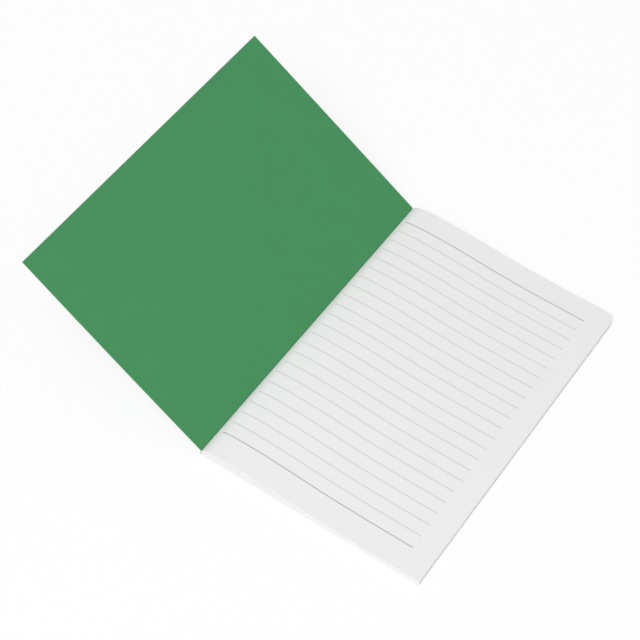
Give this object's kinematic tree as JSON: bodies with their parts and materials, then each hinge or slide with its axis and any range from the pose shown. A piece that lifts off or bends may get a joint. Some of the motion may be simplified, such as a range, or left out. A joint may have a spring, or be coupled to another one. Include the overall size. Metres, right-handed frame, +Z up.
{
  "type": "stapled notebook",
  "caption": "Thin stapled writing notebook lying open at its first ruled page, with the green card front cover standing part way up.",
  "frame": {"origin": "centre of the back cover's flat underside, which lies on the table", "axes": "+X from the spine to the fore edge, +Y from the foot of the page to its head, +Z up"},
  "size_m": [0.2565, 0.216, 0.0748],
  "materials": {
    "cover_card": "matte",
    "writing_paper": "matte",
    "staple_wire": "satin"
  },
  "bodies": {
    "back": {"back_cover": "cover_card"},
    "leaves": {"page_block": "writing_paper", "cover_spine": "cover_card", "staples": "staple_wire"},
    "front": {"front_cover": "cover_card"}
  },
  "joints": [
    {"name": "back_crease", "type": "hinge", "parent": "back", "child": "leaves", "pos_m": [-0.0691, 0, 0.00015], "axis": [0, -1, 0], "range_deg": [0, 180]},
    {"name": "front_crease", "type": "hinge", "parent": "leaves", "child": "front", "pos_m": [-0.0691, 0, 0.0031], "axis": [0, 1, 0], "range_deg": [-31.2, 120]}
  ]
}
